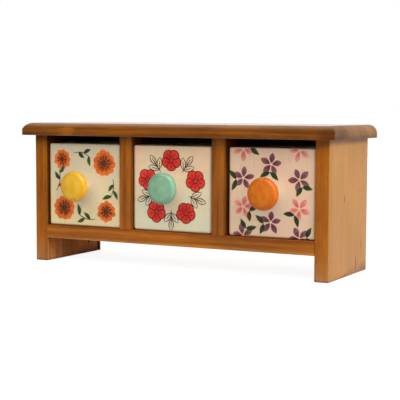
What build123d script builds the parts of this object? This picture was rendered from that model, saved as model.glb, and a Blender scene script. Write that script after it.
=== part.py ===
from build123d import *
import os

# A tabletop chest: a wooden cabinet with three ceramic drawers side by side.
# Millimetres. +X is to the viewer's right, the drawers open towards -Y and +Z is up.
# The origin is on the table, midway across the cabinet and midway from the knobs to the back.

# Cabinet boards. The dividers stand a little to the left of even spacing.
cabinet_width = 331.0
side_depth = 102.6
side_height = 132.3
side_thickness = 14.4
top_thickness = 13.0
top_overhang_side = 9.4
top_overhang_front = 11.5
top_roundover = 9.0
top_roundover_left = 10.5
top_edge_flat = 1.0
top_corner_radius = 1.5
arris_radius = 0.8
foot_height = 24.4
shelf_thickness = 13.8
divider_thickness = 15.0
divider_shift = {"left": -1.2, "right": -2.0}

# Housings that the shelf and the dividers are let into, stopped short of the front
shelf_housing_depth = 4.0
divider_housing_depth = 3.0
housing_stop = 10.0

# Thin back board in its grooves
back_thickness = 3.8
back_groove_depth = 5.0
back_groove_inset = 3.0
back_groove_play = 0.2
back_edge_play = 0.5

# Wooden pegs between the sides and the top
peg_diameter = 6.0
peg_play = 0.05
peg_depth_in_side = 13.0
peg_depth_in_top = 8.0
peg_end_play = 0.6
peg_chamfer = 0.8
peg_edge_distance = 22.0

# Panel pins through the back
pin_diameter = 1.4
pin_play = 0.02
pin_length = 16.0
pin_point_length = 1.8
pin_head_diameter = 2.8
pin_head_thickness = 0.6
shelf_pin_count = 5
shelf_pin_spacing = 68.0
divider_pin_spacing = 52.0

# Ceramic drawers, each fitted to its own bay and standing a little off the bay's middle
drawer_names = ("left", "centre", "right")
drawer_shift = {"left": 0.7, "centre": -0.7, "right": 1.0}
drawer_side_play = {"left": 1.0, "centre": 1.0, "right": 1.6}
drawer_head_gap = 8.5
drawer_inset = 2.0
drawer_back_play = 0.5
drawer_wall = 5.0
drawer_floor = 5.5
drawer_corner_radius = 3.2
drawer_base_radius = 3.0
drawer_inner_radius = 5.0
drawer_cove_radius = 4.0
drawer_rim_radius = 2.0

# Ceramic knobs, heights measured out from the drawer front, lifts from the middle of the front
knob_lift = {"left": 0.0, "centre": 1.6, "right": 0.5}
knob_diameter = 31.0
knob_height = 24.0
knob_crown = 1.6
knob_shoulder_radius = 4.6
knob_rim_height = 16.0
knob_rim_radius = 1.5
knob_throat_radius = 9.0
knob_throat_height = 14.0
knob_neck_radius = 4.3
knob_neck_height = 6.0
knob_foot_radius = 5.2
knob_foot_thickness = 1.2

# Knob fixings
stud_diameter = 4.0
stud_play = 0.05
stud_hole_play = 0.5
stud_depth_in_knob = 13.0
stud_chamfer = 0.5
stud_proud = 2.0
washer_diameter = 10.0
washer_thickness = 1.0
washer_play = 0.2
nut_across_flats = 7.0
nut_thickness = 3.2
nut_corner_chamfer = 0.6

# Planes and sizes that follow from the values above
front_y = -(side_depth + drawer_inset - knob_height) / 2
rear_y = front_y + side_depth
top_z = side_height + top_thickness
shelf_top_z = foot_height + shelf_thickness
inner_half_width = cabinet_width / 2 - side_thickness
groove_width = back_thickness + back_groove_play
back_front_y = rear_y - back_groove_inset - groove_width
back_rear_y = back_front_y + back_thickness
housing_front_y = front_y + housing_stop
even_bay_width = (2 * inner_half_width - 2 * divider_thickness) / 3
even_divider_x = (even_bay_width + divider_thickness) / 2
divider_x = {
    "left": divider_shift["left"] - even_divider_x,
    "right": divider_shift["right"] + even_divider_x,
}
bay_ends = {
    "left": (-inner_half_width, divider_x["left"] - divider_thickness / 2),
    "centre": (divider_x["left"] + divider_thickness / 2, divider_x["right"] - divider_thickness / 2),
    "right": (divider_x["right"] + divider_thickness / 2, inner_half_width),
}
drawer_x = {name: (x0 + x1) / 2 + drawer_shift[name] for name, (x0, x1) in bay_ends.items()}
drawer_width = {name: x1 - x0 - 2 * drawer_side_play[name] for name, (x0, x1) in bay_ends.items()}
drawer_height = side_height - shelf_top_z - drawer_head_gap
drawer_front_y = front_y + drawer_inset
drawer_length = back_front_y - drawer_back_play - drawer_front_y
knob_z = {name: shelf_top_z + drawer_height / 2 + knob_lift[name] for name in drawer_names}
peg_x = cabinet_width / 2 - side_thickness / 2
peg_places_y = (front_y + peg_edge_distance, rear_y - peg_edge_distance)


def block(x0, x1, y0, y1, z0, z1):
    """A square-edged block between two corners."""
    return Pos((x0 + x1) / 2, (y0 + y1) / 2, (z0 + z1) / 2) * Box(x1 - x0, y1 - y0, z1 - z0)


def rod_along_y(x, y0, y1, z, diameter):
    """A round rod or drill from y0 to y1."""
    length = y1 - y0
    return Pos(x, (y0 + y1) / 2, z) * Rot(90, 0, 0) * Cylinder(diameter / 2, length)


def drill_down(x, y, z0, z1, diameter):
    """An upright drill from z0 to z1."""
    return Pos(x, y, (z0 + z1) / 2) * Cylinder(diameter / 2, z1 - z0)


def mirrored(shape):
    """The same piece for the other end of the cabinet."""
    return mirror(shape, about=Plane.YZ)


def pin_places():
    """Where the panel pins go: along the shelf's back edge, and up each divider."""
    shelf_z = foot_height + shelf_thickness / 2
    middle = (shelf_pin_count - 1) / 2
    places = [((i - middle) * shelf_pin_spacing, shelf_z) for i in range(shelf_pin_count)]
    divider_z = (shelf_top_z + side_height) / 2
    for x in divider_x.values():
        places += [(x, divider_z - divider_pin_spacing / 2), (x, divider_z + divider_pin_spacing / 2)]
    return places


def with_pin_holes(shape):
    """A piece with the holes of the pins that pass through it."""
    tip_y = back_rear_y - pin_length
    for x, z in pin_places():
        shape -= rod_along_y(x, tip_y, back_rear_y, z, pin_diameter + 2 * pin_play)
    return shape


def top_board():
    """The top: rounded over at the front and both ends with mitred corners, square at the back."""
    half = cabinet_width / 2 + top_overhang_side
    y0 = front_y - top_overhang_front
    blank = block(-half, half, y0, rear_y, side_height, top_z)
    upper = blank.faces().sort_by(Axis.Z)[-1].edges()
    deepest_round = top_thickness - top_edge_flat
    along_front = fillet(upper.sort_by(Axis.Y)[0], min(top_roundover, deepest_round))
    at_left_end = fillet(upper.sort_by(Axis.X)[0], min(top_roundover_left, deepest_round))
    at_right_end = fillet(upper.sort_by(Axis.X)[-1], min(top_roundover, deepest_round))
    corners = blank.edges().filter_by(Axis.Z).sort_by(Axis.Y)
    outline = fillet(corners[:2], top_corner_radius)
    board = along_front & at_left_end & at_right_end & outline
    lower = board.faces().sort_by(Axis.Z)[0].edges()
    board = fillet(lower, arris_radius)
    for x in divider_x.values():
        board -= divider_housing(x, side_height, side_height + divider_housing_depth)
    reach = inner_half_width + back_groove_depth
    groove_y = back_front_y + groove_width
    board -= block(-reach, reach, back_front_y, groove_y, side_height, side_height + back_groove_depth)
    peg_end_z = side_height + peg_depth_in_top
    for x in (-peg_x, peg_x):
        for y in peg_places_y:
            board -= drill_down(x, y, side_height, peg_end_z, peg_diameter + 2 * peg_play)
    return board


def divider_housing(x, z0, z1):
    """The space of a divider's tongue, in the shelf or in the top."""
    half = divider_thickness / 2
    return block(x - half, x + half, housing_front_y, back_front_y, z0, z1)


def left_side_panel():
    """The left side, which runs down to the table as the feet."""
    outer_x = -cabinet_width / 2
    inner_x = -inner_half_width
    side = block(outer_x, inner_x, front_y, rear_y, 0, side_height)
    side = fillet(side.edges().filter_by(lambda e: e.center().Z < side_height - arris_radius), arris_radius)
    shelf_end_x = inner_x - shelf_housing_depth
    side -= block(shelf_end_x, inner_x, housing_front_y, back_front_y, foot_height, shelf_top_z)
    groove_y = back_front_y + groove_width
    side -= block(inner_x - back_groove_depth, inner_x, back_front_y, groove_y, 0, side_height)
    peg_end_z = side_height - peg_depth_in_side
    for y in peg_places_y:
        side -= drill_down(-peg_x, y, peg_end_z, side_height, peg_diameter + 2 * peg_play)
    return side


def drawer_shelf():
    """The board under the drawers, tongued at both ends, with its front edge as the rail."""
    half = inner_half_width
    shelf = block(-half, half, front_y, back_front_y, foot_height, shelf_top_z)
    rail = shelf.faces().sort_by(Axis.Y)[0].edges().filter_by(Axis.X)
    shelf = fillet(rail, arris_radius)
    reach = half + shelf_housing_depth
    shelf += block(-reach, reach, housing_front_y, back_front_y, foot_height, shelf_top_z)
    for x in divider_x.values():
        shelf -= divider_housing(x, shelf_top_z - divider_housing_depth, shelf_top_z)
    return with_pin_holes(shelf)


def divider(x):
    """An upright board between two drawers, tongued at the top and the bottom."""
    half = divider_thickness / 2
    upright = block(x - half, x + half, front_y, back_front_y, shelf_top_z, side_height)
    front_edges = upright.faces().sort_by(Axis.Y)[0].edges().filter_by(Axis.Z)
    upright = fillet(front_edges, arris_radius)
    upright += divider_housing(x, shelf_top_z - divider_housing_depth, side_height + divider_housing_depth)
    return with_pin_holes(upright)


def back_panel():
    """The thin back board, held in the grooves of the sides and the top."""
    reach = inner_half_width + back_groove_depth - back_edge_play
    head_z = side_height + back_groove_depth - back_edge_play
    panel = block(-reach, reach, back_front_y, back_rear_y, foot_height, head_z)
    return with_pin_holes(panel)


def left_top_pegs():
    """The two wooden pegs that fix the top to the left side."""
    z0 = side_height - peg_depth_in_side + peg_end_play
    z1 = side_height + peg_depth_in_top - peg_end_play
    pegs = []
    for y in peg_places_y:
        peg = drill_down(-peg_x, y, z0, z1, peg_diameter)
        pegs.append(chamfer(peg.edges().filter_by(GeomType.CIRCLE), peg_chamfer))
    return Compound(pegs)


def back_pins():
    """Headed panel pins with drawn points."""
    r = pin_diameter / 2
    outline = Polyline(
        (0, pin_head_thickness), (pin_head_diameter / 2, pin_head_thickness), (pin_head_diameter / 2, 0),
        (r, 0), (r, pin_point_length - pin_length), (0, -pin_length), close=True)
    pin = revolve(make_face(Plane.XZ * outline), Axis.Z)
    upright = Rot(-90, 0, 0) * pin
    return Compound([Pos(x, back_rear_y, z) * upright for x, z in pin_places()])


def drawer_box(name):
    """A slip-cast drawer: an even wall, a coved floor, soft corners and a rounded rim."""
    x = drawer_x[name]
    width = drawer_width[name]
    middle_y = drawer_front_y + drawer_length / 2
    outline = Pos(x, middle_y, shelf_top_z) * RectangleRounded(width, drawer_length, drawer_corner_radius)
    box = extrude(outline, drawer_height)
    box = fillet(box.faces().sort_by(Axis.Z)[0].edges(), drawer_base_radius)
    inner_width = width - 2 * drawer_wall
    inner_length = drawer_length - 2 * drawer_wall
    floor_z = shelf_top_z + drawer_floor
    mouth = Pos(x, middle_y, floor_z) * RectangleRounded(inner_width, inner_length, drawer_inner_radius)
    hollow = extrude(mouth, drawer_height - drawer_floor)
    hollow = fillet(hollow.faces().sort_by(Axis.Z)[0].edges(), drawer_cove_radius)
    box -= hollow
    box = fillet(box.faces().sort_by(Axis.Z)[-1].edges(), drawer_rim_radius)
    inner_y = drawer_front_y + drawer_wall
    return box - rod_along_y(x, drawer_front_y, inner_y, knob_z[name], stud_diameter + 2 * stud_hole_play)


def knob(name):
    """A turned knob: a foot, a waisted neck, a flared underside and a crowned head."""
    rim_r = knob_diameter / 2
    crown_edge = knob_height - knob_crown
    crown_r = (rim_r ** 2 + knob_crown ** 2) / (2 * knob_crown)
    outline = [
        Line((0, 0), (knob_foot_radius, 0)),
        Line((knob_foot_radius, 0), (knob_foot_radius, knob_foot_thickness)),
        ThreePointArc(
            (knob_foot_radius, knob_foot_thickness),
            (knob_neck_radius, knob_neck_height),
            (knob_throat_radius, knob_throat_height)),
        Line((knob_throat_radius, knob_throat_height), (rim_r, knob_rim_height)),
        Line((rim_r, knob_rim_height), (rim_r, crown_edge)),
        RadiusArc((rim_r, crown_edge), (0, knob_height), -crown_r),
        Line((0, knob_height), (0, 0)),
    ]
    profile = make_face(Curve(outline))
    shoulder = profile.vertices().sort_by(Axis.X)[-2:].sort_by(Axis.Y)[-1]
    profile = fillet(shoulder, knob_shoulder_radius)
    rim = profile.vertices().sort_by(Axis.X)[-2:].sort_by(Axis.Y)[0]
    profile = fillet(rim, knob_rim_radius)
    turned = revolve(profile, Axis.Y)
    turned -= Pos(0, stud_depth_in_knob / 2, 0) * Rot(90, 0, 0) * Cylinder(
        stud_diameter / 2 + stud_play, stud_depth_in_knob)
    return Pos(drawer_x[name], drawer_front_y, knob_z[name]) * Rot(180, 0, 0) * turned


def knob_stud(name):
    """The stud cemented into the knob, out through the drawer front."""
    inner_y = drawer_front_y + drawer_wall + washer_thickness + nut_thickness + stud_proud
    outer_y = drawer_front_y - stud_depth_in_knob
    stud = rod_along_y(drawer_x[name], outer_y, inner_y, knob_z[name], stud_diameter)
    return chamfer(stud.edges().filter_by(GeomType.CIRCLE), stud_chamfer)


def knob_washer(name):
    """The washer against the inside of the drawer front."""
    x = drawer_x[name]
    z = knob_z[name]
    y0 = drawer_front_y + drawer_wall
    y1 = y0 + washer_thickness
    washer = rod_along_y(x, y0, y1, z, washer_diameter)
    return washer - rod_along_y(x, y0, y1, z, stud_diameter + 2 * washer_play)


def knob_nut(name):
    """A hexagon nut with its corners turned off on the outer face."""
    x = drawer_x[name]
    z = knob_z[name]
    y0 = drawer_front_y + drawer_wall + washer_thickness
    y1 = y0 + nut_thickness
    hexagon = RegularPolygon(nut_across_flats / 2, 6, major_radius=False)
    nut = extrude(hexagon, nut_thickness)
    corner_r = nut_across_flats / 3 ** 0.5
    turned = Pos(0, 0, nut_thickness / 2) * Cylinder(corner_r, nut_thickness)
    turned = chamfer(turned.edges().sort_by(Axis.Z)[-1], nut_corner_chamfer)
    nut = Pos(x, y0, z) * Rot(-90, 0, 0) * (nut & turned)
    return nut - rod_along_y(x, y0, y1, z, stud_diameter + 2 * stud_play)


def all_pieces():
    """Every piece by its name."""
    side = left_side_panel()
    pegs = left_top_pegs()
    pieces = {
        "top_board": top_board(),
        "side_panel_left": side,
        "side_panel_right": mirrored(side),
        "drawer_shelf": drawer_shelf(),
        "back_panel": back_panel(),
        "back_pins": back_pins(),
        "top_pegs_left": pegs,
        "top_pegs_right": mirrored(pegs),
    }
    for name, x in divider_x.items():
        pieces["divider_" + name] = divider(x)
    for name in drawer_names:
        pieces["drawer_" + name] = drawer_box(name)
        pieces["knob_" + name] = knob(name)
        pieces["knob_stud_" + name] = knob_stud(name)
        pieces["knob_washer_" + name] = knob_washer(name)
        pieces["knob_nut_" + name] = knob_nut(name)
    return pieces


os.makedirs("parts", exist_ok=True)
for node, shape in all_pieces().items():
    export_step(shape, "parts/" + node + ".step")
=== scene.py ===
"""Finishes, painting and studio for a tabletop chest with three ceramic drawers.

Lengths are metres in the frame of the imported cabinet: +X is to the viewer's right, the
drawers open towards -Y, and the chest stands on Z = 0. Sizes written with MM are millimetres.
"""
import math
import random
from typing import Callable, NamedTuple

import bmesh
import bpy
from bpy.props import FloatProperty, FloatVectorProperty, PointerProperty
from mathutils import Matrix, Vector


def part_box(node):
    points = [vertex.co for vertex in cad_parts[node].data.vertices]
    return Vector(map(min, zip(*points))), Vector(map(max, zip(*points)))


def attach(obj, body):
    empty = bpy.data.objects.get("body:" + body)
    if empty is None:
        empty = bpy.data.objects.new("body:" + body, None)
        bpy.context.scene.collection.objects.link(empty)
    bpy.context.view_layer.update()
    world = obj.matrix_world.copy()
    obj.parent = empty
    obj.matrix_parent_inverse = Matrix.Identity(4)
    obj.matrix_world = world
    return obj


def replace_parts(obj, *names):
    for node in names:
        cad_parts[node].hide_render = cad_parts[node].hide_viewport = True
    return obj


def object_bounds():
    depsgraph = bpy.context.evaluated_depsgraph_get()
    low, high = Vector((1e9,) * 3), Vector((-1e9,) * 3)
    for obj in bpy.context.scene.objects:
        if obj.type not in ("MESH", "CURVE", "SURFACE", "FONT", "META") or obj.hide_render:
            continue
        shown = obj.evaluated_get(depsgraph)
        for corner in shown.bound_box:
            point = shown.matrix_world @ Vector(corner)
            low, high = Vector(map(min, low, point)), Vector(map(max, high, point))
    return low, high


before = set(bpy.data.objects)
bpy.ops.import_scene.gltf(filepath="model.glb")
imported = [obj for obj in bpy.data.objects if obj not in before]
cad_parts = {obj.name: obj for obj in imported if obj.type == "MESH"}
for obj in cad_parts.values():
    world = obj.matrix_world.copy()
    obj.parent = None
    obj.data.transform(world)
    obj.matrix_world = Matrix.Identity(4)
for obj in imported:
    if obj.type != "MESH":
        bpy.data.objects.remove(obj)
cad_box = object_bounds()

bl_info = {
    "name": "Tabletop Chest Finishes",
    "version": (1, 0, 0),
    "blender": (4, 5, 0),
    "location": "3D View > Sidebar > Chest",
    "description": "Wood, glaze, brushwork and studio for a tabletop chest with three ceramic drawers",
    "category": "Material",
}

MM = 0.001
DRAWERS = ("left", "centre", "right")

# Faces of the cabinet that its stain follows
OUTER_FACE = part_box("side_panel_right")[1].x
LEFT_LEG_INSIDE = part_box("side_panel_left")[1].x
UNDER_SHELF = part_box("drawer_shelf")[0].z
UNDER_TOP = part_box("top_board")[0].z
OVER_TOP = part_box("top_board")[1].z
TOP_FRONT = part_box("top_board")[0].y


def paint_tone(red, green, blue):
    """A linear colour from the 0 to 255 values of a colour chart."""
    def linear(value):
        share = value / 255
        return share / 12.92 if share <= 0.04045 else ((share + 0.055) / 1.055) ** 2.4
    return (linear(red), linear(green), linear(blue))


def scaled_tone(colour, factor):
    """A darker or paler version of a linear colour."""
    return [min(1, value * factor) for value in colour]


def colour_choice(name, description, *chart):
    """A colour that a user may change, from the 0 to 255 values of a colour chart."""
    return FloatVectorProperty(name=name, description=description, subtype="COLOR", size=3, min=0, max=1,
                               default=paint_tone(*chart))


def angle_choice(name, description, degrees):
    """An angle that a user may change."""
    return FloatProperty(name=name, description=description, subtype="ANGLE", default=math.radians(degrees))


def number_choice(name, description, default, **kind):
    """A positive number that a user may change."""
    return FloatProperty(name=name, description=description, min=0, default=default, **kind)


def length_choice(name, description, default):
    """A length that a user may change."""
    return number_choice(name, description, default, unit="LENGTH", subtype="DISTANCE", precision=5)


class ChestWoodSettings(bpy.types.PropertyGroup):
    """Stain and grain of the boards."""
    honey: colour_choice("Honey", "Stain where the board takes little of it", 188, 108, 18)
    brown: colour_choice("Brown", "Stain over most of a board", 142, 72, 9)
    umber: colour_choice("Umber", "Stain in the dark bands and pores", 74, 32, 7)
    # Paler wood and painted sheen: the outer faces are painted paler for both
    sapwood_and_sheen: colour_choice("Sapwood and Sheen", "The pale outer faces of the sides", 182, 124, 54)
    scuffed: colour_choice("Scuffed Foot", "Where the feet are rubbed pale", 176, 124, 72)
    end_grain: colour_choice("End Grain", "Ends of the top board beside the front", 138, 93, 48)
    end_faded: colour_choice("Faded End Grain", "Ends of the top board further back", 184, 128, 72)
    # Painted highlight along the top's rounded edge; the shelf's rubbed lower edge also takes this colour
    rubbed: colour_choice("Rim Highlight and Rubbed Edge", "Painted highlight along the rounded edge of the top, and the rubbed lower edge of the shelf", 216, 164, 88)
    board: colour_choice("Back Board", "The thin board at the back", 164, 106, 50)
    beech: colour_choice("Peg", "The unstained pegs", 205, 170, 120)
    ring_spacing: length_choice("Ring Spacing", "From one growth ring to the next", 3.4 * MM)
    varnish: number_choice("Varnish Roughness", "How satin the clear varnish is", 0.21, max=1)
    polish: number_choice("Top Roughness", "How satin the polished top is", 0.1, max=1)
    worn_edge: length_choice("Worn Edge", "How far the stain is rubbed thin beside an edge", 0.9 * MM)


class ChestGlazeSettings(bpy.types.PropertyGroup):
    """Glazes of the drawers and knobs."""
    body: colour_choice("Body Glaze", "Sides, back and inside of the drawers", 226, 214, 188)
    clay: colour_choice("Bare Clay", "The unglazed underside of the drawers", 196, 150, 112)
    left_head: colour_choice("Left Knob", "Glaze of the left knob", 232, 175, 20)
    centre_head: colour_choice("Centre Knob", "Glaze of the centre knob", 126, 172, 138)
    right_head: colour_choice("Right Knob", "Glaze of the right knob", 208, 102, 2)
    film: length_choice("Paint Film", "Thickness of the raised painting", 0.12 * MM)


class ChestStudioSettings(bpy.types.PropertyGroup):
    """Camera and lamps."""
    eye: FloatVectorProperty(name="Camera Place", description="Where the camera stands", subtype="XYZ",
                             unit="LENGTH", size=3, default=(0.53875, -0.99561, 0.16067))
    heading: angle_choice("Heading", "Turn of the camera to the left of +Y", 27.99)
    dip: angle_choice("Dip", "Tilt of the camera below the horizon", 4.70)
    roll: angle_choice("Roll", "Turn of the camera about its own line of sight", 0.21)
    lens: number_choice("Lens", "Focal length on a 36 mm wide sensor, in millimetres", 100.25)
    front_power: number_choice("Front Lamp", "Power of the wide lamp above the front", 39.0, unit="POWER")
    side_power: number_choice("Side Lamp", "Power of the lamp at the right", 29.0, unit="POWER")
    back_power: number_choice("Back Lamp", "Power of the lamp behind the left", 21.0, unit="POWER")
    sky: number_choice("Sky", "Strength of the even light from all round", 0.13)
    room: number_choice("Room", "How bright gloss shows the room on the camera's side", 0.1)
    screen: number_choice("Screen", "How bright gloss shows the soft screen at the upper right", 4.0)


# The middle range of a noise, in which nearly all of it lies
SPREAD = (0.3, 0.7)


class Wiring:
    """Adds shader nodes to one tree, and joins them."""

    def __init__(self, tree):
        self.tree = tree

    def feed(self, socket, value):
        """Joins a socket to another one, or sets its own value."""
        if isinstance(value, bpy.types.NodeSocket):
            self.tree.links.new(value, socket)
        elif socket.type == "RGBA":
            socket.default_value = (*value[:3], 1)
        else:
            socket.default_value = value

    def add(self, kind, inputs=None, **settings):
        """A new node with its settings, and its inputs by name or number."""
        made = self.tree.nodes.new("ShaderNode" + kind)
        for name, value in settings.items():
            setattr(made, name, value)
        for name, value in (inputs or {}).items():
            self.feed(made.inputs[name], value)
        return made

    def calc(self, operation, *values, clamp=False):
        return self.add("Math", dict(enumerate(values)), operation=operation, use_clamp=clamp).outputs[0]

    def times(self, *values):
        """All values multiplied."""
        product = values[0]
        for value in values[1:]:
            product = self.calc("MULTIPLY", product, value)
        return product

    def line(self, value, slope, start, clamp=False):
        """Value times slope, plus start."""
        return self.calc("MULTIPLY_ADD", value, slope, start, clamp=clamp)

    def span(self, value, low, high, to_low=0.0, to_high=1.0):
        """A smooth step of value from low to high."""
        values = {"Value": value, "From Min": low, "From Max": high, "To Min": to_low, "To Max": to_high}
        return self.add("MapRange", values, interpolation_type="SMOOTHSTEP").outputs["Result"]

    def step(self, value, face, near, far, to_near=0.0, to_far=1.0):
        """A smooth step between two distances from a face, in millimetres."""
        return self.span(value, face + near * MM, face + far * MM, to_near, to_far)

    def vector(self, operation, *values):
        made = self.add("VectorMath", dict(enumerate(values)), operation=operation)
        return made.outputs["Value" if operation in ("LENGTH", "DISTANCE", "DOT_PRODUCT") else "Vector"]

    def scaled(self, vector, factor):
        return self.add("VectorMath", {0: vector, "Scale": factor}, operation="SCALE").outputs["Vector"]

    def xyz(self, vector):
        return self.add("SeparateXYZ", {"Vector": vector}).outputs

    def off_axis(self, place, point):
        """How far a place is from the line along Y through a point."""
        flat = Vector((1, 0, 1))
        return self.vector("DISTANCE", self.vector("MULTIPLY", place, flat), point * flat)

    def noise(self, vector, scale, detail=2.0, roughness=0.5, output="Fac"):
        """Soft noise. Three scales stretch it."""
        if isinstance(scale, tuple):
            vector = self.vector("MULTIPLY", vector, scale)
            scale = 1.0
        values = {"Vector": vector, "Scale": scale, "Detail": detail, "Roughness": roughness}
        return self.add("TexNoise", values).outputs[output]

    def mix(self, share, first, second, kind="MIX"):
        values = {0: share, 6: first, 7: second}
        return self.add("Mix", values, data_type="RGBA", blend_type=kind).outputs[2]

    def shade(self, colour, *values):
        """A colour made lighter or darker by each of the values in turn."""
        factor = self.times(*values)
        grey = self.add("CombineColor", {"Red": factor, "Green": factor, "Blue": factor}).outputs[0]
        return self.mix(1.0, colour, grey, "MULTIPLY")

    def bump(self, height, distance):
        """The normal of a height that rises by distance."""
        return self.add("Bump", {"Height": height, "Distance": distance}).outputs["Normal"]

    def object_place(self):
        return self.add("TexCoord").outputs["Object"]

    def effect(self, name, place, inputs=None):
        """Places one of the shared effects."""
        made = self.tree.nodes.new("ShaderNodeGroup")
        made.node_tree = bpy.data.node_groups[name]
        for socket, value in {"Vector": place, **(inputs or {})}.items():
            self.feed(made.inputs[socket], value)
        return made.outputs

    def edge_mask(self, place, node, width):
        """The edge mask of a solid, from its box in the frame."""
        low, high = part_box(node)
        return self.effect("Board Edge", place, {"Low": low, "High": high, "Width": width})["Edge"]


def new_material(name):
    """A material without nodes."""
    material = bpy.data.materials.new(name)
    material.use_nodes = True
    material.node_tree.nodes.clear()
    return material


class Finish(Wiring):
    """A material with a Principled shader, whose even values are set on its own sockets."""

    def __init__(self, name, colour, **constants):
        self.material = new_material(name)
        super().__init__(self.material.node_tree)
        self.shader = self.add("BsdfPrincipled")
        self.add("OutputMaterial", {"Surface": self.shader.outputs[0]})
        self.colour = colour
        self.feed_shader(**constants)

    def tint(self, tone, *shares):
        """Takes on another colour, by all the shares multiplied."""
        self.colour = self.mix(self.times(*shares), self.colour, tone)

    def weigh(self, *values):
        """Gets lighter or darker by each of the values."""
        self.colour = self.shade(self.colour, *values)

    def feed_shader(self, **values):
        """Joins the colour and the other values to the shader, and gives the material."""
        for name, value in {"Base Color": self.colour, **values}.items():
            self.feed(self.shader.inputs[name.replace("_", " ")], value)
        return self.material


# How often the patterns of wood repeat in a metre, twice across the grain and then along it
WOOD_DRIFT = (22, 22, 5)
WOOD_BLOTCHES = (42, 42, 14)
WOOD_FIBRES = (1500, 1500, 45)
WOOD_PORES = (2600, 2600, 130)

# Bands of colour are drawn out along the grain
BAND_STRETCH = (1, 1, 0.033)


def timber_effect(w, place, ring_spacing, wander, band_scale):
    """Growth rings round a pith that runs along Z, with bands of colour, fibres and open pores."""
    drift = w.vector("SUBTRACT", w.noise(place, WOOD_DRIFT, output="Color"), (0.5, 0.5, 0.5))
    moved = w.vector("ADD", place, w.scaled(drift, wander))
    radius = w.vector("LENGTH", w.vector("MULTIPLY", moved, (1, 1, 0)))
    turns = w.calc("DIVIDE", radius, ring_spacing)
    share = w.calc("FRACT", turns)
    summer = w.span(share, 0.1, 0.82)
    winter = w.span(share, 0.84, 1.0, 1.0, 0.0)
    year = w.add("TexWhiteNoise", {"W": w.calc("FLOOR", turns)}, noise_dimensions="1D").outputs["Value"]
    rings = w.times(summer, winter, w.line(year, 0.85, 0.15))
    bands = w.noise(w.vector("MULTIPLY", moved, BAND_STRETCH), band_scale, 4.0, 0.6)
    blotch = w.noise(moved, WOOD_BLOTCHES, 3.0, 0.55)
    fibres = w.noise(place, WOOD_FIBRES, 3.0, 0.6)
    pores = w.span(w.noise(place, WOOD_PORES, 1.0), 0.63, 0.74)
    relief = w.line(rings, 0.5, w.times(fibres, 0.5))
    return {"Rings": rings, "Bands": w.span(bands, 0.32, 0.68), "Blotch": w.span(blotch, *SPREAD),
            "Fibres": fibres, "Pores": pores, "Height": w.line(pores, -0.6, relief)}


def board_edge_effect(w, place, low, high, width):
    """A mask of the strips beside the edges of a squared board, from the two corners of its box."""
    inside = w.vector("MINIMUM", w.vector("SUBTRACT", place, low), w.vector("SUBTRACT", high, place))
    x, y, z = w.xyz(inside)
    least = w.calc("MINIMUM", x, y)
    most = w.calc("MAXIMUM", x, y)
    second = w.calc("MAXIMUM", least, w.calc("MINIMUM", most, z))
    ragged = w.line(w.noise(place, 160.0, 3.0, 0.6), 3.0, -0.6)
    away = w.calc("DIVIDE", second, w.times(width, ragged), clamp=True)
    return {"Edge": w.calc("SUBTRACT", 1.0, away, clamp=True)}


def knot_effect(w, place, point, stretch, radius):
    """A small knot: grain that parts round a point, and its dark eye."""
    away = w.vector("MULTIPLY", w.vector("SUBTRACT", place, point), stretch)
    uneven = w.line(w.noise(place, 420.0), 0.8, 0.6)
    distance = w.calc("DIVIDE", w.vector("LENGTH", away), w.times(radius, uneven))
    pull = w.calc("DIVIDE", 1.0, w.line(distance, distance, 0.7))
    bent = w.scaled(away, w.times(pull, -0.85))
    return {"Vector": w.vector("ADD", place, bent), "Eye": w.span(distance, 0.25, 0.8, 1.0, 0.0),
            "Halo": w.span(distance, 0.6, 2.6, 1.0, 0.0)}


def handling_effect(w, place):
    """Faint rubbed patches and fine scratches, from 0 to 1."""
    patches = w.noise(place, 26.0, 4.0, 0.6)
    slant = {"Vector": place, "Rotation": (0.5, 0.9, 0.3), "Scale": (2400, 90, 260)}
    scratches = w.noise(w.add("Mapping", slant).outputs[0], 1.0, 1.0)
    return {"Rub": w.span(patches, 0.35, 0.7), "Scratch": w.span(scratches, 0.7, 0.78)}


def brush_wash_effect(w, place, streaks):
    """Thin colour laid on with a wide brush: streaks along Z, soft clouds and patches, and a few flecks."""
    drawn = w.vector("MULTIPLY", place, streaks)
    return {"Streak": w.span(w.noise(drawn, 1.0, 4.0, 0.65), *SPREAD),
            "Cloud": w.span(w.noise(place, 34.0, 3.0, 0.55), *SPREAD),
            "Patch": w.span(w.noise(place, 140.0), *SPREAD),
            "Fleck": w.span(w.noise(place, 1100.0, 1.0), 0.74, 0.8)}


def glaze_skin_effect(w, place):
    """The slow waves and few pinholes of a fired glaze."""
    waves = w.noise(place, 85.0, 2.0, 0.45)
    peel = w.noise(place, 520.0, 1.0)
    cells = w.add("TexVoronoi", {"Vector": place, "Scale": 190.0}, feature="F1").outputs["Distance"]
    pits = w.span(cells, 0.02, 0.045, 1.0, 0.0)
    return {"Height": w.line(pits, -0.1, w.line(peel, 0.03, waves)),
            "Dull": w.span(w.noise(place, 60.0, 3.0), 0.35, 0.75)}


# The shared effects, each with the inputs that it takes after the place that all of them read
EFFECTS = {
    "Timber": (timber_effect, {"Ring Spacing": 3.4 * MM, "Wander": 5 * MM, "Band Scale": 150.0}),
    "Board Edge": (board_edge_effect, {"Low": (-1, -1, -1), "High": (1, 1, 1), "Width": 1 * MM}),
    "Knot": (knot_effect, {"Point": (0, 0, 0), "Stretch": (1, 1, 1), "Radius": 3 * MM}),
    "Handling": (handling_effect, {}),
    "Brush Wash": (brush_wash_effect, {"Streaks": (420, 420, 22)}),
    "Glaze Skin": (glaze_skin_effect, {}),
}


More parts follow.
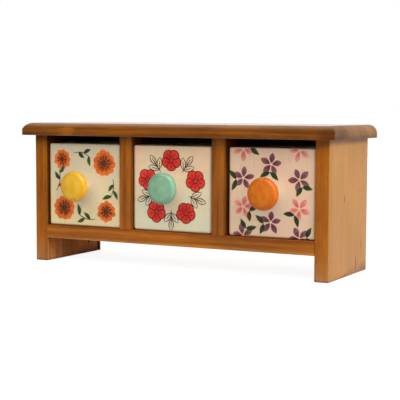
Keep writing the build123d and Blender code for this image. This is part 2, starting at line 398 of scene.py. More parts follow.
def build_effects():
    """Builds each shared effect once, as a node group with named inputs and outputs."""
    for name, (make, defaults) in EFFECTS.items():
        tree = bpy.data.node_groups.new(name, "ShaderNodeTree")
        for socket, default in {"Vector": (0, 0, 0), **defaults}.items():
            kind = "NodeSocketVector" if isinstance(default, tuple) else "NodeSocketFloat"
            tree.interface.new_socket(name=socket, in_out="INPUT", socket_type=kind).default_value = default
        w = Wiring(tree)
        sockets = tree.nodes.new("NodeGroupInput").outputs
        made = make(w, *sockets[:len(defaults) + 1])
        for socket in made:
            kind = "NodeSocketVector" if socket == "Vector" else "NodeSocketFloat"
            tree.interface.new_socket(name=socket, in_out="OUTPUT", socket_type=kind)
        end = tree.nodes.new("NodeGroupOutput").inputs
        for socket, value in made.items():
            w.feed(end[socket], value)


class Knot(NamedTuple):
    """A knot, a closed crack or a swirl in the grain."""
    point: tuple
    stretch: tuple   # under 1 along the axis in which it is long
    radius: float
    darkness: float  # 1 is a dark eye alone, 0 a honey-coloured halo alone


class Tone(NamedTuple):
    """A colour that the board takes on between two heights, in millimetres above a face; some tones are stain
    and some are painted shade and highlight.
    """
    face: float
    start: float
    stop: float
    colour: str
    share: float


class Board(NamedTuple):
    """How one board is cut and stained."""
    kind: Callable    # adds what only this kind of board shows
    grain: str        # its long axis
    pith: tuple       # where its growth rings centre
    depth: float      # how much light the stain leaves
    rings: float      # how plainly the growth rings show
    gloss: float      # how much varnish it has
    tones: tuple = ()
    knots: tuple = ()
    bands: float = 150.0    # how often its bands of colour repeat in a metre
    sheen: str = "varnish"  # the setting of its roughness


GRAIN_TURN = {"X": (0.0, math.radians(90), 0.0), "Z": (0.0, 0.0, 0.0)}
VARNISH_IOR = 1.65
WOOD_RELIEF = 0.08 * MM


class BoardStain(Finish):
    """Stained and varnished wood for one board, worked out in the order in which it is laid on."""

    def __init__(self, node, board):
        self.look = bpy.context.scene.chest_wood
        super().__init__("stain_" + node, self.look.brown, Specular_IOR_Level=0.0, Roughness=0.7,
                         Coat_IOR=VARNISH_IOR, Coat_Roughness=getattr(self.look, board.sheen))
        self.node = node
        self.board = board
        self.low, self.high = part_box(node)
        self.place = self.object_place()
        self.x, self.y, self.z = self.xyz(self.place)
        self.eye = 0.0
        self.halo = 0.0
        self.timber = self.effect("Timber", self.laid_grain(), {"Ring Spacing": self.look.ring_spacing,
                                                                "Band Scale": board.bands})
        self.tint(self.look.honey, self.timber["Bands"])
        self.coat = board.gloss
        self.rings = board.rings
        self.unevenness = 1.0
        board.kind(self)
        self.add_grain()
        self.add_varnish()

    def laid_grain(self):
        """Places in the timber, bent round the knots and turned along the grain."""
        bent = self.place
        for knot in self.board.knots:
            around = self.effect("Knot", bent, {"Point": knot.point, "Stretch": knot.stretch,
                                                "Radius": knot.radius})
            bent = around["Vector"]
            self.eye = self.calc("MAXIMUM", self.times(around["Eye"], knot.darkness), self.eye)
            self.halo = self.calc("MAXIMUM", self.times(around["Halo"], 1 - knot.darkness), self.halo)
        turned = {"Vector": bent, "Rotation": GRAIN_TURN[self.board.grain], "Location": self.board.pith}
        return self.add("Mapping", turned).outputs[0]

    def add_grain(self):
        """Tones by height, among them painted shade and highlight, rings, clouds, pores, knots and edges that
        are rubbed thin.
        """
        for tone in self.board.tones:
            self.tint(getattr(self.look, tone.colour), self.step(self.z, *tone[:3], 0.0, tone.share))
        self.tint(self.look.umber, self.timber["Rings"], self.rings)
        fibres = self.span(self.timber["Fibres"], *SPREAD, -0.12, 0.08)
        cloudy = self.line(self.calc("SUBTRACT", self.timber["Blotch"], 0.6), 0.34, fibres)
        self.weigh(self.line(cloudy, self.unevenness, 1.0), self.board.depth)
        self.tint(self.look.umber, self.timber["Pores"], 0.4)
        if self.board.knots:
            self.tint(self.look.honey, self.halo, self.line(self.timber["Blotch"], 0.35, 0.35))
            self.tint(scaled_tone(self.look.umber, 0.8), self.eye)
        self.tint(self.look.honey, self.edge_mask(self.place, self.node, self.look.worn_edge), 0.3)

    def add_varnish(self):
        """Varnish worn by handling, thin over the pores and on the sawn edge at the back."""
        handling = self.effect("Handling", self.place)
        back_edge = self.step(self.y, self.high.y, -0.8, -0.1, 1.0, 0.2)
        worn = self.line(handling["Rub"], -0.1, self.line(self.timber["Pores"], -0.3, 1.0))
        relief = self.line(handling["Scratch"], -0.25, self.timber["Height"])
        self.feed_shader(Coat_Weight=self.times(self.coat, back_edge, worn),
                         Normal=self.bump(relief, WOOD_RELIEF))


def side_panel(w):
    """A pale outer face of paler wood with painted sheen, an inner face with painted shade beside the drawers
    and painted light under the shelf, painted shade under the top and beside the openings, and a foot that is
    scuffed and damp.
    """
    side = w.calc("ABSOLUTE", w.x)
    inner_face = OUTER_FACE - (w.high.x - w.low.x)
    pale = w.step(side, OUTER_FACE, -1.6, -0.2)
    inner = w.times(w.step(side, inner_face, 0.1, 0.5, 1.0, 0.0), w.step(w.y, w.low.y, 0.3, 1.5))
    w.coat = w.line(inner, -0.8 * w.board.gloss, w.board.gloss)
    scuff_foot_and_paint_inner_shading(w, inner)
    # Painted shade under the top's overhang: the head of the panel is painted darker towards the top
    shade_under_top = w.step(w.z, UNDER_TOP, -11.3, -1.3, 0.97, 0.56)
    # Painted shade on the front face towards its inner edge, beside the drawer openings
    shade_beside_opening = w.step(side, inner_face, 0, 4, 0.75, 1.0)
    w.weigh(shade_under_top, w.calc("MAXIMUM", inner, shade_beside_opening))
    # The outer face is painted paler for its paler wood and for a painted sheen
    sapwood_and_sheen = w.mix(w.timber["Bands"], w.look.sapwood_and_sheen, scaled_tone(w.look.sapwood_and_sheen, 1.1))
    # Painted sheen: less of it towards the front edge of the outer face, so that face is painted darker there
    less_sheen_at_front = w.step(w.y, w.low.y, 0, 14, 0.9, 1.0)
    w.tint(w.shade(sapwood_and_sheen, less_sheen_at_front), pale)
    damp_foot(w)
    shown = w.line(pale, -0.4, w.line(inner, 0.6, 0.4))
    w.rings = w.calc("MULTIPLY", shown, 2.5 * w.board.rings, clamp=True)
    w.unevenness = w.line(pale, -0.6, 1.0)


def scuff_foot_and_paint_inner_shading(w, inner):
    """Rubs a foot pale, and paints its inner face lighter under the shelf, more so towards the back, as
    painted light from the floor, and darker above the shelf as painted shade.
    """
    bare = w.times(inner, w.step(w.z, UNDER_SHELF, -2.4, 1.6, 1.0, 0.0))
    near_table = w.step(w.z, 0, 0, 36, 1.0, 0.0)
    scuffed = w.times(near_table, w.line(w.timber["Blotch"], 0.4, 0.25))
    w.tint(w.look.scuffed, w.line(bare, 0.15, scuffed))
    # Painted light: under the shelf the inner face is painted lighter, more so towards the back, for light
    # bounced up from the floor
    painted_bounce = w.times(bare, w.step(w.y, 0, -30, 60, 1.15, 2.6))
    # Above the shelf the inner face is painted half as light, as painted shade beside the drawers
    w.weigh(w.calc("ADD", painted_bounce, w.line(inner, -0.5, 1.0)))


def damp_foot(w):
    """Stains a foot dark from the table up, higher at the back."""
    reach = w.line(w.step(w.y, 0, -20, 45), 9 * MM, 2.5 * MM)
    damp = w.calc("SUBTRACT", 1.0, w.calc("DIVIDE", w.z, reach, clamp=True))
    w.tint(scaled_tone(w.look.brown, 0.6), damp, w.line(w.timber["Blotch"], 0.7, 0.3))


END_ROUNDING = 9 * MM


def top_board(w):
    """Palest left of its middle, dark in the right-hand corner, with end grain on its rounded ends."""
    from_end = w.calc("SUBTRACT", w.high.x, w.calc("ABSOLUTE", w.x))
    from_front = w.calc("SUBTRACT", w.y, w.low.y)
    left_end = w.step(w.x, 0, -156, -112, 0.76, 1.22)
    right_half = w.step(w.x, 0, -75, 5, 1.0, 0.785)
    w.weigh(left_end, right_half)
    corner = w.step(w.x, w.high.x, -24, -9, 0.0, 0.5)
    w.tint(w.look.umber, corner, w.step(from_front, 0, 9, 20, 1.0, 0.0))
    mitre = w.step(w.calc("SUBTRACT", from_front, from_end), 0, -0.4, 0.4)
    end = w.times(w.step(from_end, END_ROUNDING, -0.3, 0, 1.0, 0.0), mitre)
    faded = w.step(from_front, 0, 25, 49)
    w.tint(w.mix(faded, w.look.end_grain, w.look.end_faded), end)
    w.coat = w.line(end, -0.7 * w.board.gloss, w.board.gloss)
    upper_face = w.step(w.z, OVER_TOP, -0.6, -0.02, 1.0, 1.55)
    w.weigh(upper_face)


def divider(w):
    """Painted shade along the right-hand edge, beside the drawer opening."""
    # Painted shade: the last two millimetres of the front face go darker beside the opening
    w.weigh(w.step(w.x, w.high.x, -2.2, -0.4, 1.0, 0.5))


def shelf(w):
    """A little paler at the left end."""
    w.weigh(w.span(w.x, w.low.x, w.high.x, 1.10, 0.97))


# Marks in the wood
SWIRL = Knot((-117.0 * MM, TOP_FRONT, 136.3 * MM), (0.8, 1.0, 1.0), 3.6 * MM, 0.0)
SWIRL_RIM = Knot((-126.0 * MM, TOP_FRONT, 134.6 * MM), (1.6, 1.0, 0.5), 1.5 * MM, 0.6)
SIDE_KNOT = Knot((OUTER_FACE, -1.3 * MM, 75.5 * MM), (1.0, 1.0, 0.45), 2.3 * MM, 0.7)
UPPER_CRACK = Knot((OUTER_FACE, 45.4 * MM, 27.6 * MM), (1.0, 1.0, 0.22), 1.7 * MM, 0.5)
LOWER_CRACK = Knot((OUTER_FACE, 31.7 * MM, 10.0 * MM), (1.0, 1.0, 0.13), 1.9 * MM, 0.7)
LEG_KNOT = Knot((LEFT_LEG_INSIDE, 38.0 * MM, 12.7 * MM), (1.0, 1.0, 0.6), 2.6 * MM, 0.95)

# Where the stain lies darker or is rubbed thin, and where shade and highlight are painted into it
# Painted highlight along the top's upper rounded edge, standing in for its sheen
TOP_RIM_HIGHLIGHT = Tone(OVER_TOP, -6.8, -1.3, "rubbed", 0.27)
# Painted shade along the lower part of the top's front
TOP_LOWER_EDGE_SHADE = Tone(UNDER_TOP, 5.7, 0.1, "umber", 0.47)
# Painted shade under the top's overhang, on the left side and the dividers
SHADED_HEAD = Tone(UNDER_TOP, -20.3, -1.3, "umber", 0.22)
# A honey tint that warms the painted shade under the top on the right side
WARMED_SHADE_HEAD = Tone(UNDER_TOP, -6.3, -0.3, "honey", 0.5)
HANDLED_WAIST = Tone(0, 50, 100, "umber", 0.17)
SHELF_LOWER_EDGE = Tone(UNDER_SHELF, 3.6, 0, "rubbed", 0.3)

# The stained boards of the cabinet
BOARDS = {
    "top_board": Board(top_board, "X", (-0.085, 0.012, 0.31), depth=0.64, rings=0.14, gloss=1.0,
                       tones=(TOP_RIM_HIGHLIGHT, TOP_LOWER_EDGE_SHADE), knots=(SWIRL, SWIRL_RIM), sheen="polish"),
    "side_panel_left": Board(side_panel, "Z", (0.120, 0.055, 0.70), depth=0.95, rings=0.12, gloss=0.35,
                             tones=(SHADED_HEAD,), knots=(LEG_KNOT,), bands=90.0),
    "side_panel_right": Board(side_panel, "Z", (-0.215, -0.020, 0.40), depth=1.04, rings=0.06, gloss=0.45,
                              tones=(WARMED_SHADE_HEAD,), knots=(SIDE_KNOT, UPPER_CRACK, LOWER_CRACK), bands=90.0),
    "drawer_shelf": Board(shelf, "X", (0.020, 0.075, 0.90), depth=1.0, rings=0.18, gloss=0.6,
                          tones=(SHELF_LOWER_EDGE,)),
    "divider_left": Board(divider, "Z", (0.100, 0.080, 1.30), depth=1.10, rings=0.18, gloss=0.6,
                          tones=(SHADED_HEAD,)),
    "divider_right": Board(divider, "Z", (-0.010, 0.085, 1.70), depth=0.95, rings=0.18, gloss=0.6,
                           tones=(SHADED_HEAD, HANDLED_WAIST)),
}


def put_on(node, material):
    """Gives a carried-over solid its finish."""
    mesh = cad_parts[node].data
    mesh.materials.clear()
    mesh.materials.append(material)


class CHEST_OT_finish_boards(bpy.types.Operator):
    """Stain the cabinet's boards, each with its own piece of timber"""
    bl_idname = "chest.finish_boards"
    bl_label = "Stain Boards"

    def execute(self, context):
        for node, board in BOARDS.items():
            put_on(node, BoardStain(node, board).material)
        return {"FINISHED"}


def back_board_finish():
    """Thin veneered board, stained more thinly than the rest."""
    look = bpy.context.scene.chest_wood
    w = Finish("thin_board", look.board, Specular_IOR_Level=0.25)
    laid = w.add("Mapping", {"Vector": w.object_place(), "Rotation": GRAIN_TURN["X"],
                             "Location": (0.004, 0.031, 2.2)}).outputs[0]
    timber = w.effect("Timber", laid, {"Ring Spacing": 1.2 * MM, "Wander": 9 * MM})
    w.tint(look.brown, timber["Bands"], 0.6)
    w.tint(look.umber, timber["Rings"], 0.3)
    w.tint(look.umber, timber["Pores"], 0.35)
    return w.feed_shader(Roughness=w.span(timber["Fibres"], *SPREAD, 0.6, 0.78),
                         Normal=w.bump(timber["Height"], 0.12 * MM))


def peg_finish():
    """Bare turned beech."""
    look = bpy.context.scene.chest_wood
    w = Finish("bare_peg", look.beech)
    timber = w.effect("Timber", w.object_place(), {"Ring Spacing": 1.6 * MM})
    w.tint(look.brown, timber["Rings"], 0.4)
    return w.feed_shader(Roughness=w.span(timber["Fibres"], *SPREAD, 0.6, 0.8),
                         Normal=w.bump(timber["Height"], WOOD_RELIEF))


# Each metal: its bright and its tarnished colour, how often its drawn lines repeat in a metre along each
# axis, and its share of tarnish
METALS = {
    "zinc_plate": ((196, 198, 200), (150, 140, 120), (900, 9000, 900), 0.04),
    "pin_steel": ((140, 134, 128), (96, 66, 44), (4000, 300, 4000), 0.12),
}


def metal_finish(name):
    """Metal with drawn lines and a little tarnish."""
    bright, stained, lines, stain_share = METALS[name]
    w = Finish(name, paint_tone(*bright), Metallic=1.0)
    place = w.object_place()
    drawn = w.noise(place, lines)
    tarnish = w.span(w.noise(place, 700.0, 4.0, 0.6), 0.68 - stain_share, 0.78 - stain_share)
    w.tint(paint_tone(*stained), tarnish)
    return w.feed_shader(Roughness=w.line(tarnish, 0.3, w.span(drawn, 0.2, 0.8, 0.22, 0.4)),
                         Normal=w.bump(drawn, 0.02 * MM))


def new_piece(name, bm, *materials):
    """Turns a finished bmesh into an object at the origin."""
    mesh = bpy.data.meshes.new(name)
    bm.to_mesh(mesh)
    bm.free()
    for material in materials:
        mesh.materials.append(material)
    piece = bpy.data.objects.new(name, mesh)
    bpy.context.scene.collection.objects.link(piece)
    return piece


def whole(bm):
    """All corners, edges and faces of a mesh."""
    return bm.verts[:] + bm.edges[:] + bm.faces[:]


# The thread of the studs, with the share of its pitch at which its crest begins and ends
THREAD_PITCH = 0.7 * MM
THREAD_DEPTH = 0.43 * MM
CREST = (0.44, 0.56)
STEPS_A_TURN = 20
SAME_PLACE = 0.005 * MM


def threaded_stud(name, material):
    """The stud with its real thread, from one end of the solid that it stands for to the other."""
    node = "knob_stud_" + name
    low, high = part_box(node)
    middle = (low + high) / 2
    crest = (high.x - low.x) / 2
    root = crest - THREAD_DEPTH
    profile = ((root, 0.0), (crest, CREST[0]), (crest, CREST[1]), (root, 1.0))
    bm = bmesh.new()
    tooth = [bm.verts.new((out, share * THREAD_PITCH, 0)) for out, share in profile]
    tooth += [bm.edges.new(pair) for pair in zip(tooth, tooth[1:])]
    steps = STEPS_A_TURN * (math.ceil((high.y - low.y) / THREAD_PITCH) + 1)
    bmesh.ops.spin(bm, geom=tooth, cent=(0, 0, 0), axis=(0, 1, 0), angle=2 * math.pi * steps / STEPS_A_TURN,
                   dvec=(0, THREAD_PITCH / STEPS_A_TURN, 0), steps=steps, use_merge=False)
    bmesh.ops.remove_doubles(bm, verts=bm.verts, dist=SAME_PLACE)
    bmesh.ops.translate(bm, verts=bm.verts, vec=(middle.x, low.y - THREAD_PITCH, middle.z))
    for end, outward in ((low.y, -1), (high.y, 1)):
        cut = bmesh.ops.bisect_plane(bm, geom=whole(bm), clear_outer=True, plane_co=(0, end, 0),
                                     plane_no=(0, outward, 0))
        rim = [item for item in cut["geom_cut"] if isinstance(item, bmesh.types.BMEdge)]
        bmesh.ops.holes_fill(bm, edges=rim, sides=0)
    bmesh.ops.recalc_face_normals(bm, faces=bm.faces)
    stud = new_piece("thread_stud_" + name, bm, material)
    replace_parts(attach(stud, "drawer_" + name), node)
    return stud


class CHEST_OT_finish_fittings(bpy.types.Operator):
    """Finish the back board, the pegs, the panel pins and the knob fixings"""
    bl_idname = "chest.finish_fittings"
    bl_label = "Finish Fittings"

    def execute(self, context):
        peg = peg_finish()
        zinc = metal_finish("zinc_plate")
        put_on("back_panel", back_board_finish())
        put_on("back_pins", metal_finish("pin_steel"))
        put_on("top_pegs_left", peg)
        put_on("top_pegs_right", peg)
        for name in DRAWERS:
            put_on("knob_washer_" + name, zinc)
            put_on("knob_nut_" + name, zinc)
            threaded_stud(name, zinc)
        return {"FINISHED"}


# Ground colours of the painted fronts, from the foot of the drawer to its rim
GROUNDS = {
    "left": ((238, 220, 164), (223, 206, 164), (213, 204, 168)),
    "centre": ((226, 222, 188), (232, 212, 172), (240, 203, 163)),
    "right": ((226, 190, 158), (232, 192, 158), (224, 188, 156)),
}
BLUSH = paint_tone(240, 190, 156)
# Pale cream painted as light: round and below the knobs on the drawer fronts, and on the knobs' necks
PAINTED_LIGHT_CREAM = paint_tone(250, 234, 204)

# Deep and pale dabs of each knob's glaze
DABS = {
    "left": ((220, 150, 16), (242, 202, 92)),
    "centre": ((108, 154, 118), (162, 202, 170)),
    "right": ((190, 78, 2), (234, 148, 20)),
}


def drawer_finish(name):
    """Cream glaze with a painted front, pale bare edges and an unglazed foot, with painted light round the
    knob and painted shade along the lower edge.
    """
    look = bpy.context.scene.chest_glaze
    node = "drawer_" + name
    low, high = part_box(node)
    at_foot, halfway, at_rim = (paint_tone(*chart) for chart in GROUNDS[name])
    w = Finish("glaze_" + name, at_foot, Specular_IOR_Level=0.4, Coat_Weight=0.15, Coat_Roughness=0.14)
    place = w.object_place()
    y, z = w.xyz(place)[1:]
    wash = w.effect("Brush Wash", place)
    skin = w.effect("Glaze Skin", place)
    level = w.line(w.calc("SUBTRACT", wash["Cloud"], 0.5), 0.5, w.span(z, low.z, high.z))
    w.tint(halfway, level, 2.0)
    w.tint(at_rim, w.line(level, 2.0, -1.0))
    w.tint(look.body, wash["Streak"], 0.22)
    w.tint(BLUSH, wash["Cloud"], wash["Streak"], 0.3)
    front = w.step(y, low.y, 0.6, 2.2, 1.0, 0.0)
    edge = w.edge_mask(place, node, 1.6 * MM)
    painted = w.times(front, w.line(edge, -0.7, 1.0, clamp=True))
    w.tint(look.body, w.calc("SUBTRACT", 1.0, painted))
    w.tint(look.clay, wash["Fleck"], 0.25)
    under_knob = sum(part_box("knob_" + name), Vector()) / 2 - Vector((0, 0, 5 * MM))
    # Painted light: the front is painted paler round the knob and below it, to lift the shadow that the knob
    # casts
    rubbed = w.step(w.off_axis(place, under_knob), 0, 8, 30, 0.55, 0.0)
    w.tint(PAINTED_LIGHT_CREAM, front, rubbed)
    foot = w.step(z, low.z, 0.5, 1.1, 1.0, 0.0)
    w.tint(look.clay, foot)
    # Painted shade along the lower edge of the drawer, where it sits on the shelf
    w.weigh(w.step(z, low.z, 0.4, 2.4, 0.5, 1.0))
    glossy = w.line(skin["Dull"], 0.12, 0.26)
    return w.feed_shader(Roughness=w.calc("MAXIMUM", glossy, w.times(foot, 0.85)),
                         Normal=w.bump(skin["Height"], 0.12 * MM))


def knob_finish(name):
    """A coloured head, dabbed on unevenly, over a cream neck painted paler than the drawer's glaze as painted
    light.
    """
    low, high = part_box("knob_" + name)
    head = getattr(bpy.context.scene.chest_glaze, name + "_head")
    w = Finish("knob_glaze_" + name, head, Specular_IOR_Level=0.4)
    place = w.object_place()
    wash = w.effect("Brush Wash", place, {"Streaks": (190, 190, 70)})
    skin = w.effect("Glaze Skin", place)
    deep, pale = (paint_tone(*chart) for chart in DABS[name])
    w.tint(pale, wash["Patch"], 0.45)
    w.tint(deep, wash["Cloud"], wash["Streak"], 0.7)
    away = w.line(wash["Patch"], 1.5 * MM, w.off_axis(place, (low + high) / 2))
    w.tint(deep, w.step(away, 0, 12.0, 13.4), w.step(away, 0, 13.8, 15.2, 0.5, 0.0))
    # The neck is painted in the pale cream, lighter than its glaze, to stand for the light on it
    neck_end = w.line(wash["Cloud"], 1.2 * MM, 13.2 * MM)
    past_neck = w.calc("SUBTRACT", w.calc("SUBTRACT", high.y, w.xyz(place)["Y"]), neck_end)
    w.tint(PAINTED_LIGHT_CREAM, w.step(past_neck, 0, -0.3, 0.3, 1.0, 0.0))
    return w.feed_shader(Roughness=w.line(skin["Dull"], 0.14, 0.32), Normal=w.bump(skin["Height"], 0.5 * MM))


class CHEST_OT_glaze_ceramics(bpy.types.Operator):
    """Glaze the drawers and their knobs"""
    bl_idname = "chest.glaze_ceramics"
    bl_label = "Glaze Drawers and Knobs"

    def execute(self, context):
        for name in DRAWERS:
            put_on("drawer_" + name, drawer_finish(name))
            put_on("knob_" + name, knob_finish(name))
        return {"FINISHED"}


# Each paint: its tones at the root and the tip of a brush mark, and how plainly the hairs of the brush show
PAINTS = {
    "orange": ((190, 82, 10), (248, 122, 44), 0.8),
    "brown": ((74, 36, 20), (112, 54, 26), 0.5),
    "leaf": ((36, 54, 30), (68, 92, 46), 0.5),
    "red": ((210, 34, 30), (238, 60, 42), 0.5),
    "ink": ((30, 22, 22), (52, 38, 36), 0.3),
    "purple": ((104, 50, 62), (142, 90, 96), 0.5),
    "coral": ((214, 112, 104), (236, 150, 136), 0.5),
    "plum": ((80, 36, 48), (102, 56, 66), 0.5),
    "rust": ((180, 78, 76), (206, 104, 98), 0.5),
    "pine": ((24, 46, 16), (48, 72, 32), 0.5),
    "cream": ((226, 196, 140), (240, 220, 176), 0.5),
}

# What each corner of a brush mark holds: its share of the length, its side, and how loaded the brush was
TRACES = ("along", "across", "load")


def brush_paint(name):
    """Paint that deepens towards the root of a brush mark and shows the hairs of the brush."""
    root, tip, streak_strength = PAINTS[name]
    w = Finish("paint_" + name, paint_tone(*root), Specular_IOR_Level=0.35, Coat_Weight=0.1,
               Coat_Roughness=0.16)
    along, across, load = (w.add("Attribute", attribute_name=key).outputs["Fac"] for key in TRACES)
    hairs = w.add("CombineXYZ", {"X": w.times(along, 1.5), "Y": w.times(across, 5.0),
                                 "Z": w.times(load, 40.0)}).outputs[0]
    streak = w.span(w.noise(hairs, 1.0), *SPREAD)
    share = w.calc("ADD", along, w.times(w.calc("SUBTRACT", streak, 0.5), streak_strength))
    share = w.calc("ADD", share, w.times(w.calc("SUBTRACT", load, 0.5), 0.5), clamp=True)
    w.tint(paint_tone(*tip), share)
    w.feed_shader(Roughness=w.line(streak, 0.12, 0.26))


# Outlines of a brush mark: where along it is widest, and how full its ends are
PETAL = (0.66, 0.62)
ROUND_PETAL = (0.60, 0.52)
POINTED_PETAL = (0.55, 0.80)
LEAF = (0.45, 1.05)
LINE = (0.50, 0.22)
DOT = (0.50, 0.62)

# How wide a drawn line is, in millimetres
INK_LINE = 0.85

# How high marks lie over each other, and how deep the paint reaches into the glaze
LAYER_LIFT = 0.02 * MM
MARKS_A_LAYER = 20
PAINT_ROOT = 0.02 * MM

# Radii of the solid drawer's edges, round which the painting is wrapped, and where it is cut to follow them
SIDE_RADIUS = 3.2 * MM
FOOT_RADIUS = 3.0 * MM
RIM_RADIUS = 2.0 * MM
EDGE_CUTS = (0.0, 0.35, 0.6, 0.8)


def edge_drop(past, radius):
    """How far a rounded edge has fallen away at a distance past where it begins."""
    past = min(max(past, 0.0), radius)
    return radius - math.sqrt(radius ** 2 - past ** 2)


def spot_at(centre, angle, distance):
    """The place at a distance from centre, in the direction of angle in degrees."""
    turn = math.radians(angle)
    return (centre[0] + distance * math.cos(turn), centre[1] + distance * math.sin(turn))


class Painting:
    """Brush marks in thin raised paint on the front of one drawer, in millimetres from its middle."""

    def __init__(self, name, paints, seed):
        self.name = name
        self.paints = paints
        self.random = random.Random(seed)
        self.bm = bmesh.new()
        self.layers = {key: self.bm.verts.layers.float.new(key) for key in TRACES}
        self.count = 0

    def around(self, value, spread):
        """value, a little more or less."""
        return value * self.random.uniform(1 - spread, 1 + spread)

    def mark(self, spot, angle, length, width, outline, paint, bend=0.0, layer=0, sides=16):
        """One mark from its root at spot, out along angle in degrees."""
        widest, fullness = outline
        skew = math.log(0.5) / math.log(widest)
        load = self.random.random()
        verts = bmesh.ops.create_circle(self.bm, cap_ends=True, segments=sides, radius=1.0)["verts"]
        verts[0].link_faces[0].material_index = self.paints.index(paint)
        for vert in verts:
            share = min(1.0, max(0.0, (1 + vert.co.x) / 2))
            side = 0.0 if abs(vert.co.y) < 1e-4 else math.copysign(1.0, vert.co.y)
            half = max(0.0, math.sin(math.pi * share ** skew)) ** fullness * width / 2
            sweep = 4 * bend * length * share * (1 - share)
            vert.co = Vector((share * length, side * half + sweep, 0)) * MM
            for key, value in zip(TRACES, (share, side, load)):
                vert[self.layers[key]] = value
        self.count += 1
        height = (layer + self.count % MARKS_A_LAYER / MARKS_A_LAYER) * LAYER_LIFT
        turned = Matrix.Rotation(math.radians(angle), 4, "Z")
        placed = Matrix.Translation((spot[0] * MM, spot[1] * MM, height))
        bmesh.ops.transform(self.bm, matrix=placed @ turned, verts=verts)

    def dot(self, centre, size, paint, layer, sides=16):
        """A round mark."""
        self.mark(spot_at(centre, 180, size / 2), 0, size, size, DOT, paint, layer=layer, sides=sides)

    def outlined(self, spot, angle, length, width, outline, fill, layer):
        """A mark of one colour inside a drawn line in ink."""
        self.mark(spot, angle, length, width, outline, "ink", layer=layer, sides=20)
        self.mark(spot_at(spot, angle, INK_LINE), angle, length - 2 * INK_LINE, width - 2 * INK_LINE, outline,
                  fill, layer=layer + 1, sides=20)

    def open_leaf(self, spot, angle, length, width):
        """A leaf drawn in line only: two sides and a midrib."""
        for side in (-1, 1):
            self.mark(spot, angle, length, INK_LINE, LINE, "ink", side * width / 2 / length, 1, sides=28)
        self.mark(spot, angle, length * 0.7, INK_LINE * 0.8, LINE, "ink", layer=1, sides=12)

    def finish(self):
        """Gives the marks their thickness, wraps them round the drawer's edges and mounts them."""
        look = bpy.context.scene.chest_glaze
        low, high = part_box("drawer_" + self.name)
        half = (high - low) / 2
        bm = self.bm
        edges = ((half.x, SIDE_RADIUS, Vector((1, 0, 0))), (half.x, SIDE_RADIUS, Vector((-1, 0, 0))),
                 (half.z, RIM_RADIUS, Vector((0, 1, 0))), (half.z, FOOT_RADIUS, Vector((0, -1, 0))))
        for reach, radius, outward in edges:
            for share in EDGE_CUTS:
                spot = outward * (reach - (1 - share) * radius)
                bmesh.ops.bisect_plane(bm, geom=whole(bm), plane_co=spot, plane_no=outward,
                                       clear_outer=share == EDGE_CUTS[-1])
        raised = bmesh.ops.extrude_face_region(bm, geom=bm.faces[:])
        risen = {item for item in raised["geom"] if isinstance(item, bmesh.types.BMVert)}
        for vert in bm.verts:
            vert.co.z = vert.co.z + look.film if vert in risen else -PAINT_ROOT
        for reach, radius, outward in edges:
            for vert in bm.verts:
                vert.co.z -= edge_drop(vert.co.xy.dot(outward.xy) - reach + radius, radius)
        bmesh.ops.recalc_face_normals(bm, faces=bm.faces)
        upright = Matrix.Rotation(math.radians(90), 4, "X")
        middle = Vector(((low.x + high.x) / 2, low.y, (low.z + high.z) / 2))
        bmesh.ops.transform(bm, matrix=Matrix.Translation(middle) @ upright, verts=bm.verts)
        paints = [bpy.data.materials["paint_" + key] for key in self.paints]
        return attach(new_piece("painting_" + self.name, bm, *paints), "drawer_" + self.name)


def daisy(art, centre, radius, petals, turn):
    """Rounded orange petals with brown veins from a brown eye."""
    art.dot(centre, radius * 0.9, "orange", layer=-1)
    for index in range(petals):
        angle = turn + 360 * index / petals + art.random.uniform(-4, 4)
        length = art.around(radius * 0.84, 0.06)
        root = spot_at(centre, angle, radius * 0.16)
        art.mark(root, angle, length, art.around(radius * 0.60, 0.08), PETAL, "orange", layer=index % 3)
        for lean in (-10, 0, 10):
            vein = spot_at(centre, angle + lean * 0.6, radius * 0.22)
            art.mark(vein, angle + lean, length * art.random.uniform(0.45, 0.72), 0.8, LEAF, "brown",
                     layer=4, sides=8)
    art.dot(centre, radius * 0.54, "brown", layer=5)


def twig(art, root, angle, length, bend):
    """A thin curved stem with three leaves, on either side in turn."""
    art.mark(root, angle, length, 0.9, LINE, "brown", bend=bend, sides=24, layer=1)
    for index, lean in enumerate((-42, 42, -42)):
        share = (index + 0.9) / 3.4
        sweep = 4 * bend * length * share * (1 - share)
        spot = spot_at(spot_at(root, angle, share * length), angle + 90, sweep)
        slope = math.degrees(math.atan(4 * bend * (1 - 2 * share)))
        art.mark(spot, angle + slope + lean, art.around(10.5, 0.12), art.around(4.2, 0.1), LEAF, "leaf",
                 bend=math.copysign(0.05, lean), layer=2)


def paint_left():
    """Orange daisies in a loose ring of corners, with leafy twigs between them."""
    art = Painting("left", ("orange", "brown", "leaf"), seed=11)
    twig(art, (-35, -7), 80, 23, -0.12)
    twig(art, (35, 8), -100, 21, 0.12)
    twig(art, (-13, 33), -14, 22, 0.16)
    twig(art, (14, -34), 166, 23, 0.14)
    daisy(art, (-24.5, -24), 13.2, 11, 10)
    daisy(art, (24.5, 23.5), 13.8, 11, 30)
    daisy(art, (-27, 26.5), 10.4, 9, 0)
    daisy(art, (27, -26), 11.2, 10, 18)
    art.finish()


def rosette(art, centre, radius, turn):
    """A red blossom of five outlined petals round an outlined eye."""
    for index in range(5):
        angle = turn + 72 * index
        art.outlined(spot_at(centre, angle, radius * 0.1), angle, art.around(radius * 0.92, 0.04),
                     art.around(radius * 1.02, 0.04), ROUND_PETAL, "red", 2 * index)
        vein = spot_at(centre, angle, radius * 0.38)
        art.mark(vein, angle, radius * 0.36, 0.7, LINE, "ink", layer=11, sides=8)
    eye = radius * 0.54
    art.outlined(spot_at(centre, 180, eye / 2), 0, eye, eye, DOT, "red", 12)
    art.dot(centre, 1.6, "ink", layer=14, sides=10)


